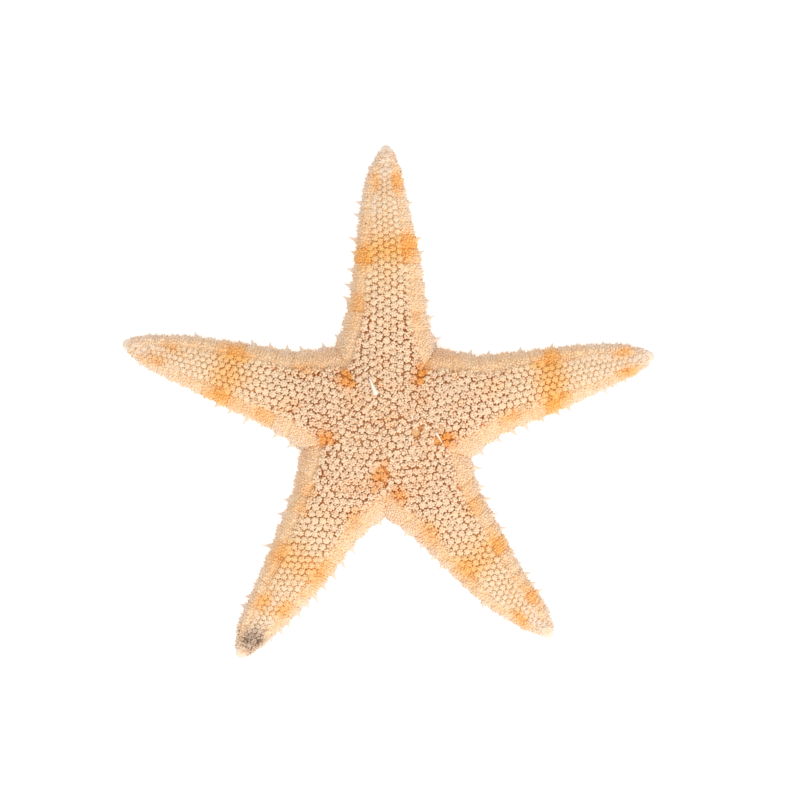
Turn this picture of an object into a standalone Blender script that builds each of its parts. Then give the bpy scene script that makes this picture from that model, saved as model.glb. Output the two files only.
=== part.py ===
"""A dried sea star about 100 mm across, lying flat with its knobbed side up.
One grown skeleton, so one closed solid: domed disc, five tapering arms, rows of
marginal plates with flat fringe spines, and five grooves that meet at the mouth below."""

import math

import bmesh
import bpy
import numpy as np
from mathutils import Vector, geometry

MM = 0.001

# plan of the star, seen from above
DISC_CENTRE = (0.0, -4.5 * MM)
# arms in turn anticlockwise, the first one points along +Y
ARM_DIRECTION = (90.0, 162.6, 237.5, 307.5, 374.7)
ARM_REACH = (53.5 * MM, 53.1 * MM, 52.9 * MM, 51.2 * MM, 52.6 * MM)
# how far the middle of each arm lies to the left of its direction, by share of its reach
SWAY_AT = (0.0, 0.3, 0.45, 0.6, 0.75, 0.9, 1.0)
ARM_SWAY = (
    (0.0, 0.3 * MM, 0.1 * MM, 0.1 * MM, 0.6 * MM, 0.65 * MM, 0.2 * MM),
    (0.0, -0.3 * MM, -0.3 * MM, -0.3 * MM, -0.25 * MM, 0.2 * MM, 0.2 * MM),
    (0.0, -0.7 * MM, -0.6 * MM, -0.1 * MM, -0.1 * MM, -0.4 * MM, -0.2 * MM),
    (0.0, -1.4 * MM, -1.45 * MM, -1.5 * MM, -1.45 * MM, -0.3 * MM, 0.3 * MM),
    (0.0, 0.5 * MM, 0.5 * MM, 0.4 * MM, 0.5 * MM, 0.25 * MM, -0.2 * MM),
)
# the notch on the right-hand side of each arm, and how far the lean of its two
# flanks stretches an inward step there
NOTCH_DIRECTION = (58.0, 124.0, 196.0, 268.0, 338.0)
NOTCH_REACH = (16.9 * MM, 17.5 * MM, 16.8 * MM, 17.0 * MM, 16.6 * MM)
NOTCH_STRETCH = 1.3
# length over which the flanks of an arm blend out of its notches
NOTCH_BLEND = 8 * MM
# half width of an arm by share of its reach
HALF_WIDTH = (
    (0.24, 9.6 * MM),
    (0.30, 8.65 * MM),
    (0.38, 7.6 * MM),
    (0.50, 6.7 * MM),
    (0.62, 5.8 * MM),
    (0.74, 4.8 * MM),
    (0.85, 3.75 * MM),
    (0.93, 2.7 * MM),
    (0.975, 2.0 * MM),
    (1.0, 1.0 * MM),
)

# heights above the table
CREST = (
    (0.0, 9.2 * MM),
    (0.12, 9.0 * MM),
    (0.28, 8.2 * MM),
    (0.45, 7.2 * MM),
    (0.62, 6.1 * MM),
    (0.78, 4.8 * MM),
    (0.90, 3.6 * MM),
    (1.0, 2.2 * MM),
)
# heights go by distance from the centre as far as this, by distance along the arm beyond
DISC_END = 15 * MM
# the arms are this much lower at their flanks, from the first distance on, fully at the second
FLANK_FALL = 0.2
FALL_START = 8 * MM
FALL_FULL = 18 * MM
# width in plan of the marginal plates by share of the reach
PLATE_WIDTH = ((0.24, 4.2 * MM), (0.45, 3.4 * MM), (0.70, 2.5 * MM), (0.93, 1.45 * MM), (1.0, 1.2 * MM))

# marginal plates, each shorter than the one before; small ones have lower and narrower shapes
PLATES_PER_SIDE = 13
PLATE_SHRINK = 0.95
PLATES_END = 0.925
FIRST_PLATE_SHARE = 0.33
JOINT_HALF_WIDTH = 0.2 * MM
JOINT_LIMIT = 0.14
PLATE_RISE = 0.34 * MM
RISE_LIMIT = 0.2
LOWER_PLATE_RISE = 0.3 * MM
LOWER_PLATE_REACH = 4.3 * MM

# blunt terminal plate: per ring its inward offset and height, and round its end
# the distance short of the tip, the half width there and the share of the height
TIP_INWARD = (1.3 * MM, 0.65 * MM, 0.1 * MM, 0.0, 0.55 * MM)
TIP_HEIGHT = (3.5 * MM, 3.0 * MM, 1.8 * MM, 0.8 * MM, 0.3 * MM)
TIP_ROUND = ((0.0, 0.0, 0.8), (0.3 * MM, 1.0 * MM, 0.84), (2.0 * MM, 2.1 * MM, 1.0))
# share of each inward offset that goes back along the arm, and the least half width kept
TIP_BACK = (1.1, 0.9, 0.2)
TIP_LEAST = 0.3

# fringe spines
SPINE_LENGTH = 1.45 * MM
SPINE_WIDTH = 1.0 * MM
SPINE_THICKNESS = 0.42 * MM
SPINE_SWEEP = 0.25
SPINE_BASE_INSET = 0.1 * MM
SPINE_BASE_LIMIT = 0.42
SPINE_UNEVEN = (0.75, 1.2)
FULL_SPINE_PLATE = 2.6 * MM

# knobs of the upper side
KNOB_PITCH = 1.72 * MM
KNOB_DEPTH = 0.5 * MM
KNOB_UNEVEN = 0.16 * MM
KNOB_LEAST_GAP = 0.72
KNOB_EDGE_GAP = 0.5
SIEVE_PLATE_AT = (5.1 * MM, -1.35 * MM)
SIEVE_PLATE_RADIUS = 0.95 * MM
SIEVE_PLATE_RISE = 0.3 * MM

# grooves and mouth of the lower side
GROOVE_HALF_WIDTH = ((0.0, 1.25 * MM), (0.4, 1.15 * MM), (0.75, 0.7 * MM), (0.93, 0.3 * MM))
GROOVE_HEIGHT = ((0.0, 2.9 * MM), (0.3, 2.5 * MM), (0.7, 1.6 * MM), (0.93, 0.6 * MM))
GROOVE_START = 3.4 * MM
GROOVE_END = 0.925
GROOVE_MARGIN = 1.25 * MM
TOOTH_DEPTH = 0.3 * MM
TOOTH_RISE = 1.6
GROOVE_FLOOR_POINTS = 12
JAW_REACH = 2.9 * MM
MOUTH_HEIGHT = 4.2 * MM
# flat field in each corner between two grooves, on which the star rests: its reach from
# the centre, its gaps to the groove and the margin, and the spread of its sloping edge
REST_START = 5.6 * MM
REST_MIDDLE = 11.0 * MM
REST_GROOVE_GAP = 1.9 * MM
REST_RIM_GAP = 0.8 * MM
REST_SPREAD = 1.12
# points lower than this belong to the plane of the table
TABLE_REACH = 0.12 * MM

rng = np.random.default_rng(7)


def through(points, x):
    """Smooth curve through (x, y) points, flat beyond both ends."""
    xs = np.array([p[0] for p in points])
    ys = np.array([p[1] for p in points])
    slopes = np.gradient(ys, xs)
    x = min(max(x, xs[0]), xs[-1])
    i = min(int(np.searchsorted(xs, x, side="right")) - 1, len(xs) - 2)
    step = xs[i + 1] - xs[i]
    u = (x - xs[i]) / step
    a = (1 + 2 * u) * (1 - u) ** 2 * ys[i] + u * (1 - u) ** 2 * step * slopes[i]
    b = u * u * (3 - 2 * u) * ys[i + 1] - u * u * (1 - u) * step * slopes[i + 1]
    return float(a + b)


def polar(angle, radius):
    turn = math.radians(angle)
    return Vector((radius * math.cos(turn), radius * math.sin(turn)))


CENTRE = Vector(DISC_CENTRE)


def sway(k, s):
    """Sideways lean of arm k at distance s from the disc centre."""
    return through(tuple(zip(SWAY_AT, ARM_SWAY[k])), s / ARM_REACH[k])


def on_arm(k, s, t):
    """Plan point of arm k, s along it and t to the left of its middle line."""
    along = polar(ARM_DIRECTION[k], 1.0)
    left = Vector((-along.y, along.x))
    return CENTRE + along * s + left * (t + sway(k, s))


def arm_place(k, point):
    """(s, t) of a plan point on arm k."""
    along = polar(ARM_DIRECTION[k], 1.0)
    left = Vector((-along.y, along.x))
    reach = point - CENTRE
    s = reach.dot(along)
    return s, reach.dot(left) - sway(k, s)


def notch(k, inward=0.0):
    """The notch to the right of arm k, moved towards the centre."""
    return CENTRE + polar(NOTCH_DIRECTION[k], NOTCH_REACH[k] - NOTCH_STRETCH * inward)


def notch_of(k, side):
    return k if side < 0 else (k + 1) % 5


def nearest_arm(point):
    """Arm whose middle line is nearest in angle."""
    reach = point - CENTRE
    angle = math.degrees(math.atan2(reach.y, reach.x))
    return min(range(5), key=lambda k: abs((angle - ARM_DIRECTION[k] + 180) % 360 - 180))


def edge_half_width(k, side, s):
    """Half width of arm k on one side, blended into the notch of that side."""
    shared = through(HALF_WIDTH, s / ARM_REACH[k])
    start, across = arm_place(k, notch(notch_of(k, side)))
    fade = min(max((s - start) / NOTCH_BLEND, 0.0), 1.0)
    fade = 1 - fade * fade * (3 - 2 * fade)
    ends = through(HALF_WIDTH, start / ARM_REACH[k])
    return shared + (side * across - ends) * fade


def joint_distance(k, side, j):
    """Distance along arm k of plate joint j, with plates that shorten to the tip."""
    start, _ = arm_place(k, notch(notch_of(k, side)))
    whole = 1 - PLATE_SHRINK**PLATES_PER_SIDE
    share = (1 - PLATE_SHRINK**j) / whole
    return start + share * (PLATES_END * ARM_REACH[k] - start)


def crest(share):
    return through(CREST, share)


def upper_height(point):
    """Height of the knob field over a plan point, without the knobs."""
    k = nearest_arm(point)
    s, t = arm_place(k, point)
    share = (point - CENTRE).length / ARM_REACH[k] if s < DISC_END else s / ARM_REACH[k]
    half = through(HALF_WIDTH, max(share, 0.3))
    fall = FLANK_FALL * min(abs(t) / half, 1.0) ** 2
    blend = min(max((s - FALL_START) / (FALL_FULL - FALL_START), 0.0), 1.0)
    return crest(share) * (1 - fall * blend)


# rings of the margin, from the edge of the knob field down to the lower side
def ring_layout(share):
    """(inward offset, height) of the five rings at this share of the reach."""
    width = through(PLATE_WIDTH, share)
    height = crest(share)
    return (
        (width, 0.86 * height),
        (0.42 * width, 0.74 * height),
        (0.06 * width, 0.42 * height),
        (0.0, 0.17 * height),
        (0.24 * width, LOWER_PLATE_RISE),
    )


def ring_point(k, side, j, level):
    """Point of ring `level` at joint j of one side of arm k."""
    s = joint_distance(k, side, j)
    if j == 0:
        inward, height = ring_layout(FIRST_PLATE_SHARE)[level]
        if level == 4:
            inward = LOWER_PLATE_REACH / NOTCH_STRETCH
        plan = notch(notch_of(k, side), inward)
        return Vector((plan.x, plan.y, height))
    share = s / ARM_REACH[k]
    inward, height = ring_layout(max(share, FIRST_PLATE_SHARE))[level]
    half = edge_half_width(k, side, s)
    if level == 4:
        groove = through(GROOVE_HALF_WIDTH, share) + GROOVE_MARGIN * (1.15 - 0.75 * share)
        inward = min(LOWER_PLATE_REACH, half - groove)
    plan = on_arm(k, s, side * (half - inward))
    return Vector((plan.x, plan.y, height))


def tip_point(k, place, level):
    """Ring points round the blunt terminal plate: 0 at the very tip, -2 and 2 on its flanks."""
    inward = TIP_INWARD[level]
    short, half, low = TIP_ROUND[abs(place)]
    height = TIP_HEIGHT[level] * (low if level < 4 else 1.0)
    back = short + inward * TIP_BACK[abs(place)]
    aside = math.copysign(max(half - inward, TIP_LEAST * half), place)
    plan = on_arm(k, ARM_REACH[k] - back, aside)
    return Vector((plan.x, plan.y, height))


def ring(level):
    """All points of one ring, anticlockwise, starting at the notch right of arm 0."""
    points = []
    for k in range(5):
        points.append(ring_point(k, -1, 0, level))
        for j in range(1, PLATES_PER_SIDE + 1):
            points.append(ring_point(k, -1, j, level))
        for place in (-2, -1, 0, 1, 2):
            points.append(tip_point(k, place, level))
        for j in range(PLATES_PER_SIDE, 0, -1):
            points.append(ring_point(k, 1, j, level))
    return points


ARM_POINTS = 2 * PLATES_PER_SIDE + 6
RING_SIZE = 5 * ARM_POINTS


def is_plate(i):
    """True if the cell after ring point i is a marginal plate, not the arm's tip."""
    place = i % ARM_POINTS
    return place < PLATES_PER_SIDE or place >= PLATES_PER_SIDE + 6


def inside(point, outline, clear):
    """True if a plan point is in the outline and at least `clear` from it."""
    odd = False
    for a, b in zip(outline, outline[1:] + outline[:1]):
        if (a.y > point.y) != (b.y > point.y):
            if point.x < a.x + (point.y - a.y) * (b.x - a.x) / (b.y - a.y):
                odd = not odd
        edge = b - a
        u = min(max((point - a).dot(edge) / edge.length_squared, 0.0), 1.0)
        if (point - a - edge * u).length < clear:
            return False
    return odd


def knob_places(outline):
    """Knob centres in staggered rows along each arm, evened out where the arms' rows meet."""
    found = []
    sieve = CENTRE + Vector(SIEVE_PLATE_AT)
    row = KNOB_PITCH * math.sqrt(3) / 2
    for i in range(int(ARM_REACH[0] / KNOB_PITCH) + 1):
        for r in (0, 1, -1, 2, -2, 3, -3, 4, -4, 5, -5, 6, -6):
            for k in range(5):
                s = (i + 0.5 * (r % 2)) * KNOB_PITCH
                point = on_arm(k, s, r * row)
                if s > PLATES_END * ARM_REACH[k] or nearest_arm(point) != k:
                    continue
                if (point - sieve).length < SIEVE_PLATE_RADIUS + 0.6 * KNOB_PITCH:
                    continue
                if not inside(point, outline, KNOB_EDGE_GAP * KNOB_PITCH):
                    continue
                if all((point - other).length > KNOB_LEAST_GAP * KNOB_PITCH for other in found):
                    found.append(point)
    return found


def even_out(points, fixed, outline, rounds=12):
    """Moves points apart until their spacing is even, as grown knobs are."""
    free = np.array([tuple(p) for p in points])
    held = np.array([tuple(p) for p in fixed])
    for _ in range(rounds):
        every = np.concatenate([free, held])
        apart = free[:, None, :] - every[None, :, :]
        far = np.linalg.norm(apart, axis=2)
        far[far < 1e-9] = 1.0
        push = np.clip(1.15 * KNOB_PITCH - far, 0.0, None) / KNOB_PITCH
        push[:, len(free) :] *= 0.6
        move = (apart / far[:, :, None] * push[:, :, None]).sum(axis=1) * KNOB_PITCH * 0.12
        for i, step in enumerate(move):
            moved = Vector(free[i] + step)
            if inside(moved, outline, 0.45 * KNOB_PITCH):
                free[i] = moved
    return [Vector(p) for p in free]


def triangles_inside(points, edges, outline):
    """Delaunay triangles of the plan points inside an outline given by point numbers."""
    done = geometry.delaunay_2d_cdt(points, edges, [outline], 1, 1e-7)
    return done[0], [list(f) for f in done[2]]


bpy.context.scene.unit_settings.scale_length = 1.0
for leftover in list(bpy.data.objects):
    bpy.data.objects.remove(leftover)

bm = bmesh.new()

# margin: a ring of edges, extruded four times
first = [bm.verts.new(p) for p in ring(0)]
loop = [bm.edges.new((first[i], first[(i + 1) % RING_SIZE])) for i in range(RING_SIZE)]
rings = [first]
strips = []
for level in range(1, 5):
    bmesh.ops.extrude_edge_only(bm, edges=loop)
    known = {v for one in rings for v in one}
    new = []
    for vert in rings[-1]:
        ends = (edge.other_vert(vert) for edge in vert.link_edges)
        new.append(next(end for end in ends if end not in known))
    for vert, place in zip(new, ring(level)):
        vert.co = place
    loop = [bm.edges.get((new[i], new[(i + 1) % RING_SIZE])) for i in range(RING_SIZE)]
    strips.append([edge.link_faces[0] for edge in loop])
    rings.append(new)

# knob field: staggered knob centres joined into triangles, each pushed in at its middle
outline = [Vector(v.co.xy) for v in rings[0]]
knobs = even_out(knob_places(outline), outline, outline)
sieve = CENTRE + Vector(SIEVE_PLATE_AT)
button = [sieve] + [sieve + polar(60 * i, SIEVE_PLATE_RADIUS) for i in range(6)]
plan = outline + knobs + button
placed, triangles = triangles_inside(plan, [], list(range(RING_SIZE)))
first_button = RING_SIZE + len(knobs)
top = list(rings[0])
for i, point in enumerate(placed[RING_SIZE:], RING_SIZE):
    height = upper_height(Vector(point))
    if i >= first_button:
        height += SIEVE_PLATE_RISE
    else:
        height += KNOB_UNEVEN * float(rng.uniform(-1, 1))
    top.append(bm.verts.new((point[0], point[1], height)))
field = []
for corners in triangles:
    face = bm.faces.new([top[i] for i in corners])
    at_rim = sum(i < RING_SIZE for i in corners) >= 2
    in_button = min(corners) >= first_button
    if not at_rim and not in_button:
        field.append(face)
bm.normal_update()
bmesh.ops.poke(bm, faces=field, offset=-KNOB_DEPTH, center_mode="MEAN", use_relative_offset=False)

# lower side: grooves with toothed edges that meet at the mouth
below = [Vector(v.co.xy) for v in rings[4]]
heights = [LOWER_PLATE_RISE] * RING_SIZE
edges = []
grooves = []
for k in range(5):
    jaw = len(below)
    below.append(CENTRE + polar(NOTCH_DIRECTION[k], JAW_REACH))
    heights.append(LOWER_PLATE_RISE)
    sides = []
    count = 2 * PLATES_PER_SIDE
    for side in (-1, 1):
        line = []
        for i in range(count + 1):
            s = GROOVE_START + (GROOVE_END * ARM_REACH[k] - GROOVE_START) * i / (count + 1)
            half = through(GROOVE_HALF_WIDTH, s / ARM_REACH[k])
            back = TOOTH_DEPTH if i % 2 else 0.0
            line.append(len(below))
            below.append(on_arm(k, s, side * (half + back)))
            heights.append(LOWER_PLATE_RISE + back * TOOTH_RISE)
        sides.append(line)
    middle = [len(below)]
    below.append(on_arm(k, GROOVE_END * ARM_REACH[k], 0.0))
    heights.append(LOWER_PLATE_RISE)
    floor = []
    for i in range(GROOVE_FLOOR_POINTS, 0, -1):
        step = (GROOVE_END * ARM_REACH[k] - GROOVE_START) / (GROOVE_FLOOR_POINTS + 1)
        s = GROOVE_START * 0.7 + step * i
        floor.append(len(below))
        below.append(on_arm(k, s, 0.0))
        heights.append(through(GROOVE_HEIGHT, s / ARM_REACH[k]))
    edges += list(zip(middle + floor, floor))
    grooves.append([jaw] + sides[0] + middle + sides[1][::-1])
below.append(CENTRE.copy())
heights.append(MOUTH_HEIGHT)
for k in range(5):
    inner = CENTRE + polar(NOTCH_DIRECTION[k], REST_START)
    outer = notch(k, (LOWER_PLATE_REACH + REST_RIM_GAP) / NOTCH_STRETCH)
    aside = GROOVE_HALF_WIDTH[0][1] + REST_GROOVE_GAP
    right = on_arm((k - 1) % 5, REST_MIDDLE, aside)
    left = on_arm(k, REST_MIDDLE, -aside)
    rest = [inner, right, outer, left]
    middle = sum(rest, Vector((0, 0))) / 4
    for spread, height in ((REST_SPREAD, LOWER_PLATE_RISE), (1.0, 0.0)):
        turn = [len(below) + i for i in range(4)]
        below += [middle + (p - middle) * spread for p in rest]
        heights += [height] * 4
        edges += list(zip(turn, turn[1:] + turn[:1]))
rim = [i for groove in grooves for i in groove]
edges += list(zip(rim, rim[1:] + rim[:1]))
placed, triangles = triangles_inside(below, edges, list(range(RING_SIZE)))
bottom = list(rings[4])
for point, height in zip(placed[RING_SIZE:], heights[RING_SIZE:]):
    bottom.append(bm.verts.new((point[0], point[1], height)))
for corners in triangles:
    bm.faces.new([bottom[i] for i in reversed(corners)])
bm.normal_update()
bmesh.ops.recalc_face_normals(bm, faces=bm.faces)

# marginal plates: blocks raised from the margin, with a narrow joint between neighbours
for i in range(RING_SIZE):
    if not is_plate(i):
        continue
    size = (rings[2][i].co - rings[2][(i + 1) % RING_SIZE].co).length
    joint = min(JOINT_HALF_WIDTH, JOINT_LIMIT * size)
    rise = min(PLATE_RISE, RISE_LIMIT * size)
    bmesh.ops.inset_region(
        bm,
        faces=[strips[0][i], strips[1][i]],
        use_even_offset=True,
        use_boundary=True,
        thickness=joint,
        depth=rise,
    )
    bmesh.ops.inset_region(
        bm,
        faces=[strips[2][i], strips[3][i]],
        use_even_offset=True,
        use_boundary=True,
        thickness=joint,
        depth=min(LOWER_PLATE_RISE, RISE_LIMIT * size),
    )

# fringe spines: each lower plate is inset on its outer side and drawn out to a flat point
for i in range(RING_SIZE):
    if not is_plate(i):
        continue
    face = strips[2][i]
    normal = face.normal.copy()
    outward = Vector((normal.x, normal.y, 0)).normalized()
    along = (rings[3][(i + 1) % RING_SIZE].co - rings[3][i].co).normalized()
    arm_end = Vector((*on_arm(nearest_arm(Vector(face.calc_center_median().xy)), 50 * MM, 0), 0))
    to_tip = along if along.dot(arm_end - rings[3][i].co) > 0 else -along
    size = (rings[3][(i + 1) % RING_SIZE].co - rings[3][i].co).length
    bmesh.ops.inset_individual(bm, faces=[face], thickness=SPINE_BASE_INSET, depth=0.0)
    middle = face.calc_center_median()
    width = min(SPINE_WIDTH, SPINE_BASE_LIMIT * size)
    for vert in face.verts:
        off = vert.co - middle
        run = off.dot(along)
        lift = off.z
        vert.co = middle + along * math.copysign(width / 2, run)
        vert.co += Vector((0, 0, math.copysign(SPINE_THICKNESS / 2, lift)))
    length = SPINE_LENGTH * float(rng.uniform(*SPINE_UNEVEN))
    length *= min(1.0, size / FULL_SPINE_PLATE) ** 0.7
    tip = middle + (outward + to_tip * SPINE_SWEEP).normalized() * length
    poked = bmesh.ops.poke(bm, faces=[face], offset=0.0, center_mode="MEAN")
    poked["verts"][0].co = tip

# lower plates and corner fields all touch the table, and the box is centred on the origin
for vert in bm.verts:
    if vert.co.z < TABLE_REACH:
        vert.co.z = 0.0
bmesh.ops.triangulate(bm, faces=bm.faces)
low = Vector([min(v.co[a] for v in bm.verts) for a in range(3)])
high = Vector([max(v.co[a] for v in bm.verts) for a in range(3)])
shift = Vector((-(low.x + high.x) / 2, -(low.y + high.y) / 2, -low.z))
bmesh.ops.translate(bm, verts=bm.verts, vec=shift)
print("knobs", len(knobs), "triangles", len(bm.faces), "centred by mm", [round(c / MM, 3) for c in shift])

mesh = bpy.data.meshes.new("starfish")
bm.to_mesh(mesh)
bm.free()
for polygon in mesh.polygons:
    polygon.use_smooth = True
star = bpy.data.objects.new("starfish", mesh)
collection = bpy.data.collections.new("dried_starfish")
bpy.context.scene.collection.children.link(collection)
collection.objects.link(star)

skeleton = bpy.data.materials.new("dried_skeleton")
skeleton.use_nodes = True
shader = skeleton.node_tree.nodes["Principled BSDF"]
shader.inputs["Base Color"].default_value = (0.84, 0.62, 0.36, 1.0)
shader.inputs["Roughness"].default_value = 0.85
mesh.materials.append(skeleton)
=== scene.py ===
# %% [markdown]
# # A dried starfish
# This star has a rim of beaded plates with a fringe of flat spines, and a
# middle field of small knobs, each crowned with short blunt spinelets. It dried
# flat and lies on a pale table, seen from straight above.
#
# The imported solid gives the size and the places. The fine things that a solid
# can't carry are meshes made here: crowns, beads, spines and grains.

import math

import bmesh
import bpy
import numpy as np
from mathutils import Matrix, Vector, geometry
from mathutils.bvhtree import BVHTree


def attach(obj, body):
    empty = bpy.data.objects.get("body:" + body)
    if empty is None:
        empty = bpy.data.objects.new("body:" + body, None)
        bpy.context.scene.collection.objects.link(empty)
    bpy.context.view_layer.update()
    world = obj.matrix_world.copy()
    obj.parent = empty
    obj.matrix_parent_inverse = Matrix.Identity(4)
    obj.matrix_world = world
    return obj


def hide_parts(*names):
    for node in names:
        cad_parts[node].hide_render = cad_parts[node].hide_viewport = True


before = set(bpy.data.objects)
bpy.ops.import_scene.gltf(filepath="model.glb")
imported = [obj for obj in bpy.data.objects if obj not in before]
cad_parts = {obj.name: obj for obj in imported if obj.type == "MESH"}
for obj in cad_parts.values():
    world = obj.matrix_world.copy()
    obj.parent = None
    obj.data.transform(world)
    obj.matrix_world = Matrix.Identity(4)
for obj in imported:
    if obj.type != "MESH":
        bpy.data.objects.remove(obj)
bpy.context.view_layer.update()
MM = 0.001
rng = np.random.default_rng(11)

# %% [markdown]
# ## Plan of the arms
# No two arms of a dried star are alike: each has its own direction, its own
# reach and a slight lean. A point on an arm is given by its distance along the
# middle line and its distance to the left of it, so that every row of knobs and
# plates can follow the lean of its arm.

# %% Arms and notches
CENTRE = Vector((-0.093 * MM, -4.357 * MM))
TOP, LEFT, LOWER_LEFT, LOWER_RIGHT, RIGHT = range(5)
ARM_NAMES = ("top", "left", "lower_left", "lower_right", "right")
ARM_DIRECTION = (90.0, 162.6, 237.5, 307.5, 374.7)
ARM_REACH = (53.5 * MM, 53.1 * MM, 52.9 * MM, 51.2 * MM, 52.6 * MM)
NOTCH_DIRECTION = (58.0, 124.0, 196.0, 268.0, 338.0)
NOTCH_REACH = (16.9 * MM, 17.5 * MM, 16.8 * MM, 17.0 * MM, 16.6 * MM)
# how far the middle of each arm lies to its left, in mm, by share of its reach
SWAY_AT = (0.0, 0.3, 0.45, 0.6, 0.75, 0.9, 1.0)
ARM_SWAY = (
    (0.0, 0.3, 0.1, 0.1, 0.6, 0.65, 0.2),
    (0.0, -0.3, -0.3, -0.3, -0.25, 0.2, 0.2),
    (0.0, -0.7, -0.6, -0.1, -0.1, -0.4, -0.2),
    (0.0, -1.4, -1.45, -1.5, -1.45, -0.3, 0.3),
    (0.0, 0.5, 0.5, 0.4, 0.5, 0.25, -0.2),
)


def through(points, x):
    """Smooth curve through (x, y) points, flat beyond both ends."""
    xs = np.array([p[0] for p in points])
    ys = np.array([p[1] for p in points])
    slopes = np.gradient(ys, xs)
    x = np.clip(x, xs[0], xs[-1])
    i = np.clip(np.searchsorted(xs, x, side="right") - 1, 0, len(xs) - 2)
    step = xs[i + 1] - xs[i]
    u = (x - xs[i]) / step
    a = (1 + 2 * u) * (1 - u) ** 2 * ys[i] + u * (1 - u) ** 2 * step * slopes[i]
    return a + u * u * (3 - 2 * u) * ys[i + 1] - u * u * (1 - u) * step * slopes[i + 1]


def polar(angle, radius):
    turn = math.radians(angle)
    return Vector((radius * math.cos(turn), radius * math.sin(turn)))


def sway(k, s):
    """Sideways lean of arm k at distance s from the centre."""
    return float(through(tuple(zip(SWAY_AT, ARM_SWAY[k])), s / ARM_REACH[k])) * MM


def on_arm(k, s, t):
    """Plan point s along arm k and t to the left of its middle line."""
    along = polar(ARM_DIRECTION[k], 1.0)
    left = Vector((-along.y, along.x))
    return CENTRE + along * s + left * (t + sway(k, s))


def arm_place(k, point):
    along = polar(ARM_DIRECTION[k], 1.0)
    left = Vector((-along.y, along.x))
    s = (point - CENTRE).dot(along)
    return s, (point - CENTRE).dot(left) - sway(k, s)


def notch(k, inward=0.0):
    """The notch to the right of arm k, moved towards the centre."""
    return CENTRE + polar(NOTCH_DIRECTION[k], NOTCH_REACH[k] - 1.3 * inward)


def notch_of(k, side):
    return k if side < 0 else (k + 1) % 5


def nearest_arm(point):
    angle = math.degrees(math.atan2(point.y - CENTRE.y, point.x - CENTRE.x))
    return min(range(5), key=lambda k: abs((angle - ARM_DIRECTION[k] + 180) % 360 - 180))


print("arm tips in mm", [[round(c / MM, 1) for c in on_arm(k, ARM_REACH[k], 0)] for k in range(5)])

# %% [markdown]
# ## Profile of the body
# The disc is the highest part and the arms sink towards their tips. Widths and
# heights change smoothly, so each one is a short list of points with a smooth
# curve through it, taken by share of the arm's reach.

# %% Widths and heights
HALF_WIDTH = (
    (0.24, 9.6 * MM),
    (0.30, 8.65 * MM),
    (0.38, 7.6 * MM),
    (0.50, 6.7 * MM),
    (0.62, 5.8 * MM),
    (0.74, 4.8 * MM),
    (0.85, 3.75 * MM),
    (0.93, 2.7 * MM),
    (0.975, 2.0 * MM),
    (1.0, 1.0 * MM),
)
CREST = (
    (0.0, 9.2 * MM),
    (0.12, 9.0 * MM),
    (0.28, 8.2 * MM),
    (0.45, 7.2 * MM),
    (0.62, 6.1 * MM),
    (0.78, 4.8 * MM),
    (0.90, 3.6 * MM),
    (1.0, 2.2 * MM),
)
PLATE_WIDTH = ((0.24, 3.8 * MM), (0.45, 2.6 * MM), (0.70, 1.8 * MM), (0.93, 1.5 * MM), (1.0, 1.1 * MM))
KNOB_HEIGHT = 0.66 * MM
BEAD_COVER = 0.38 * MM


def edge_half_width(k, side, s):
    """Half width of arm k under its beads, blended into the notch of that side."""
    start, across = arm_place(k, notch(notch_of(k, side)))
    fade = min(max((s - start) / (8 * MM), 0.0), 1.0)
    fade = 1 - fade * fade * (3 - 2 * fade)
    ends = through(HALF_WIDTH, start / ARM_REACH[k])
    return float(through(HALF_WIDTH, s / ARM_REACH[k]) + (side * across - ends) * fade) - BEAD_COVER


def knob_height(share):
    """Knobs are lower towards the arm tips."""
    return KNOB_HEIGHT * (1.1 - 0.75 * share)


def skin_height(point):
    """Height of the skin between the knobs over a plan point."""
    k = nearest_arm(point)
    s, t = arm_place(k, point)
    share = (point - CENTRE).length / ARM_REACH[k] if s < 15 * MM else s / ARM_REACH[k]
    fall = 0.2 * min(abs(t) / through(HALF_WIDTH, max(share, 0.3)), 1.0) ** 2
    blend = min(max((s - 8 * MM) / (10 * MM), 0.0), 1.0)
    return float(through(CREST, share) * (1 - fall * blend) - knob_height(share))


print("height of the skin on the disc in mm", round(skin_height(CENTRE) / MM, 2))

# %% [markdown]
# ## Rim of the body
# Two rows of plates make the rim of each arm. The rim starts as one closed ring
# of edges at the border of the knob field and is extruded ring by ring over the
# shoulder, down the side and under the arm. Ring points sit on the joints
# between plates, which shorten towards the tip.

# %% Places of the rim's rings
PLATES = 13
PLATE_SHRINK = 0.95
PLATES_END = 0.925
LOWER_PLATE_REACH = 4.3 * MM
UNDERSIDE = 0.42 * MM
ARM_POINTS = 2 * PLATES + 6
RING_SIZE = 5 * ARM_POINTS
GROOVE_HALF_WIDTH = ((0.0, 1.25 * MM), (0.4, 1.15 * MM), (0.75, 0.7 * MM), (0.93, 0.3 * MM))
# blunt arm end: per ring its inward offset and height, and round the end the
# distance short of the tip, the half width there and the share of the height
TIP_INWARD = (1.3 * MM, 0.65 * MM, 0.1 * MM, 0.0, 0.55 * MM)
TIP_HEIGHT = (3.0 * MM, 2.6 * MM, 1.7 * MM, 0.8 * MM, UNDERSIDE)
TIP_ROUND = ((0.4 * MM, 0.0, 0.8), (0.6 * MM, 0.85 * MM, 0.84), (2.0 * MM, 1.95 * MM, 1.0))


def joint_distance(k, side, j):
    start, _ = arm_place(k, notch(notch_of(k, side)))
    share = (1 - PLATE_SHRINK**j) / (1 - PLATE_SHRINK**PLATES)
    return start + share * (PLATES_END * ARM_REACH[k] - start)


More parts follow.
